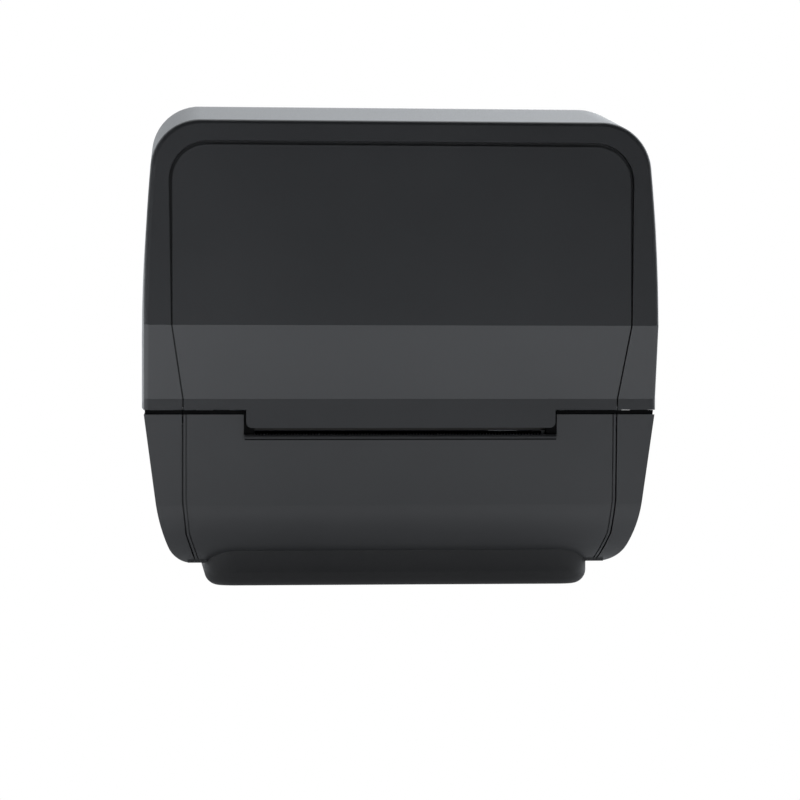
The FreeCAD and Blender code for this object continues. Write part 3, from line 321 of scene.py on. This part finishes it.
# The seam strip is painted shade, a near-black sheet set just inside the seam gap where there is only shadow.
SEAM_LOW, SEAM_TOP, SEAM_OUT = 0.0669, 0.06866, 0.00095
SHADE_THICK = 0.0006
bm = bmesh.new()
for name in ("base_front_panel", "base_side_left", "base_side_right", "rear_panel"):
    source = nodes[name].data
    for face in source.polygons:
        spots = [source.vertices[i].co for i in face.vertices]
        flat = Vector((face.normal.x, face.normal.y, 0))
        outward = flat.dot(Vector((face.center.x / 0.1, face.center.y / 0.13, 0))) > 0
        if min(v.z for v in spots) > SEAM_LOW and flat.length > 0.9 and outward:
            bm.faces.new([bm.verts.new(v) for v in spots])
bmesh.ops.remove_doubles(bm, verts=bm.verts, dist=0.00001)
bm.normal_update()
for vert in bm.verts:
    vert.co += Vector((vert.normal.x, vert.normal.y, 0)).normalized() * SEAM_OUT
    if vert.co.z > SEAM_LOW + 0.0005:
        vert.co.z = SEAM_TOP
shade_sheet = bpy.data.objects.new("seam_shade_draft", bpy.data.meshes.new("seam_shade_draft"))
bm.to_mesh(shade_sheet.data)
bm.free()
bpy.context.collection.objects.link(shade_sheet)
wall = shade_sheet.modifiers.new("wall", "SOLIDIFY")
wall.thickness = SHADE_THICK
wall.offset = -1.0
solid = bpy.data.meshes.new_from_object(shade_sheet.evaluated_get(bpy.context.evaluated_depsgraph_get()))
bpy.data.objects.remove(shade_sheet)
bm = bmesh.new()
bm.from_mesh(solid)
print(len(bm.faces), "faces in the seal")
piece("seam_shade", bm, shade_black, "base")
blocks_at("groove_ends", mirrored((74.0, -103.3, 9.3), (81.5, -97.0, 12.0)),
          palette["housing_charcoal"], "base")
# Painted shade: near-black blocks at the printhead's two ends, where the slot's corners lie in shadow.
blocks_at("head_end_shade", mirrored((57.0, -115.0, 59.3), (61.7, -113.5, 64.0)),
          shade_black, "printhead")

# %% [markdown]
# ## The lip under the exit slot
# Labels come out over a rounded lip with a painted shadow line below it, a thin near-black strip. A bevelled
# cube would do, but an outline whose rounded edge comes from a formula, carried across the slot, gives exact
# control of the round.
# Near-black plates of painted shade behind the slot's two ends keep it black to its corners.

# %% Exit lip
LIP_HALF, LIP_FACE, LIP_TOP, LIP_LOW, LIP_OUT = 0.0600, -0.1239, 0.05925, 0.05775, 0.0007
ROUND_STEPS = 6
rise = LIP_TOP - LIP_LOW - 0.0004
outline = [(LIP_FACE + 0.0005, LIP_LOW), (LIP_FACE - LIP_OUT, LIP_LOW)]
for step in range(ROUND_STEPS + 1):
    angle = math.pi / 2 * step / ROUND_STEPS
    outline.append((LIP_FACE - LIP_OUT * math.cos(angle), LIP_TOP - rise + rise * math.sin(angle)))
outline.append((LIP_FACE + 0.0005, LIP_TOP))
bm = bmesh.new()
ends = [[bm.verts.new((x, y, z)) for y, z in outline] for x in (-LIP_HALF, LIP_HALF)]
for k in range(len(outline)):
    following = (k + 1) % len(outline)
    bm.faces.new((ends[0][k], ends[0][following], ends[1][following], ends[1][k]))
bm.faces.new(ends[0])
bm.faces.new(ends[1])
bmesh.ops.recalc_face_normals(bm, faces=bm.faces)
piece("exit_lip", bm, palette["housing_charcoal"], "base")
# Painted shadow: a near-black strip under the lip stands in for the shadow line below it.
blocks_at("lip_shadow_line", [((-60.0, -124.0, 57.25), (60.0, -123.7, 57.75))], shade_black, "base")
# Painted shade: near-black plates behind the slot's two ends.
blocks_at("slot_end_shade", mirrored((56.3, -122.9, 59.3), (60.3, -122.6, 68.3)),
          shade_black, "base")

# %% [markdown]
# ## A white studio
# The picture has a plain white ground, so the floor is pure white to the camera. To every other ray
# it is a white floor with a wash of light before the printer and to its left, which lights the front
# from below.

# %% Floor
WASH, FLOOR_Y = 1.05, 0.8
bpy.ops.mesh.primitive_grid_add(x_subdivisions=4, y_subdivisions=4, size=6.0, location=(0, FLOOR_Y, -0.0005))
floor = bpy.context.object
floor.name = "floor"
mat = bpy.data.materials.new("studio_white")
mat.use_nodes = True
tree = mat.node_tree
shader = tree.nodes["Principled BSDF"]
shader.inputs["Base Color"].default_value = (0.8, 0.8, 0.8, 1)
shader.inputs["Roughness"].default_value = 0.9
coords = tree.nodes.new("ShaderNodeTexCoord")
split = tree.nodes.new("ShaderNodeSeparateXYZ")
link(tree, coords.outputs["Object"], split.inputs["Vector"])
near = remap(tree, split.outputs["Y"], WASH, 0.0, -0.22 - FLOOR_Y, -0.05 - FLOOR_Y)
far = remap(tree, split.outputs["Y"], 0.05, 1.0, -0.95 - FLOOR_Y, -0.3 - FLOOR_Y)
left = remap(tree, split.outputs["X"], 0.9, 0.0, -0.2, -0.085)
total = tree.nodes.new("ShaderNodeMath")
total.operation = "MULTIPLY_ADD"
link(tree, near, total.inputs[0])
link(tree, far, total.inputs[1])
link(tree, left, total.inputs[2])
link(tree, total.outputs["Value"], shader.inputs["Emission Strength"])
shader.inputs["Emission Color"].default_value = (0.97, 1.0, 1.04, 1)
glow = tree.nodes.new("ShaderNodeEmission")
glow.inputs["Strength"].default_value = 1.0
path = tree.nodes.new("ShaderNodeLightPath")
mix = tree.nodes.new("ShaderNodeMixShader")
link(tree, path.outputs["Is Camera Ray"], mix.inputs["Fac"])
link(tree, shader.outputs["BSDF"], mix.inputs[1])
link(tree, glow.outputs["Emission"], mix.inputs[2])
link(tree, mix.outputs["Shader"], tree.nodes["Material Output"].inputs["Surface"])
floor.data.materials.append(mat)

# %% [markdown]
# The world is white to the camera. To reflections it is bright behind the printer and dim towards the
# camera, as a photographer's room is. That is why the top shines and the front stays dark.

# %% World
world = bpy.data.worlds.new("studio")
bpy.context.scene.world = world
world.use_nodes = True
tree = world.node_tree
background = tree.nodes["Background"]
coords = tree.nodes.new("ShaderNodeTexCoord")
split = tree.nodes.new("ShaderNodeSeparateXYZ")
link(tree, coords.outputs["Generated"], split.inputs["Vector"])
behind = remap(tree, split.outputs["Y"], 0.0, 1.0, -0.05, 0.4)
tint = tree.nodes.new("ShaderNodeMix")
tint.data_type = "RGBA"
tint.inputs[6].default_value = (0.02, 0.02, 0.021, 1)
side = tree.nodes.new("ShaderNodeVectorMath")
side.operation = "SCALE"
side.inputs[0].default_value = (1.33, 1.39, 1.45)
link(tree, remap(tree, split.outputs["X"], 0.85, 2.1, -0.1, 0.4), side.inputs["Scale"])
link(tree, side.outputs["Vector"], tint.inputs[7])
link(tree, behind, tint.inputs["Factor"])
path = tree.nodes.new("ShaderNodeLightPath")
white = tree.nodes.new("ShaderNodeMix")
white.data_type = "RGBA"
white.inputs[7].default_value = (1, 1, 1, 1)
link(tree, path.outputs["Is Camera Ray"], white.inputs["Factor"])
link(tree, tint.outputs[2], white.inputs[6])
link(tree, white.outputs[2], background.inputs["Color"])
background.inputs["Strength"].default_value = 1.0


# %% Lamps
def softbox(name, spot, aim, wide, power):
    data = bpy.data.lights.new(name, "AREA")
    data.shape = "RECTANGLE"
    data.size = wide
    data.size_y = wide * 0.7
    data.energy = power
    lamp = bpy.data.objects.new(name, data)
    lamp.location = spot
    lamp.rotation_euler = (Vector(aim) - Vector(spot)).to_track_quat("-Z", "Y").to_euler()
    bpy.context.collection.objects.link(lamp)
    return lamp


softbox("overhead", (0, 0.6, 1.6), (0, 0.1, 0.1), 1.6, 4)

# %% [markdown]
# ## The camera
# The view is level with the middle of the machine, a little to its left, through a long lens. The
# numbers come from matching corner points of the model to the same corners in the picture.

# %% Camera
azimuth, elevation, distance = math.radians(4.944), math.radians(0.047), 1.1
level = math.cos(elevation)
forward = Vector((math.sin(azimuth) * level, math.cos(azimuth) * level, -math.sin(elevation)))
right = Vector((math.cos(azimuth), -math.sin(azimuth), 0))
data = bpy.data.cameras.new("camera")
data.lens = 36 * 2869 / 800
data.sensor_width = 36
data.clip_start = 0.01
camera = bpy.data.objects.new("camera", data)
camera.location = Vector((0, -0.1255, 0.07258)) + right * -0.00062 - forward * distance
camera.rotation_euler = forward.to_track_quat("-Z", "Y").to_euler()
bpy.context.collection.objects.link(camera)
scene = bpy.context.scene
scene.camera = camera
scene.view_settings.view_transform = "Standard"
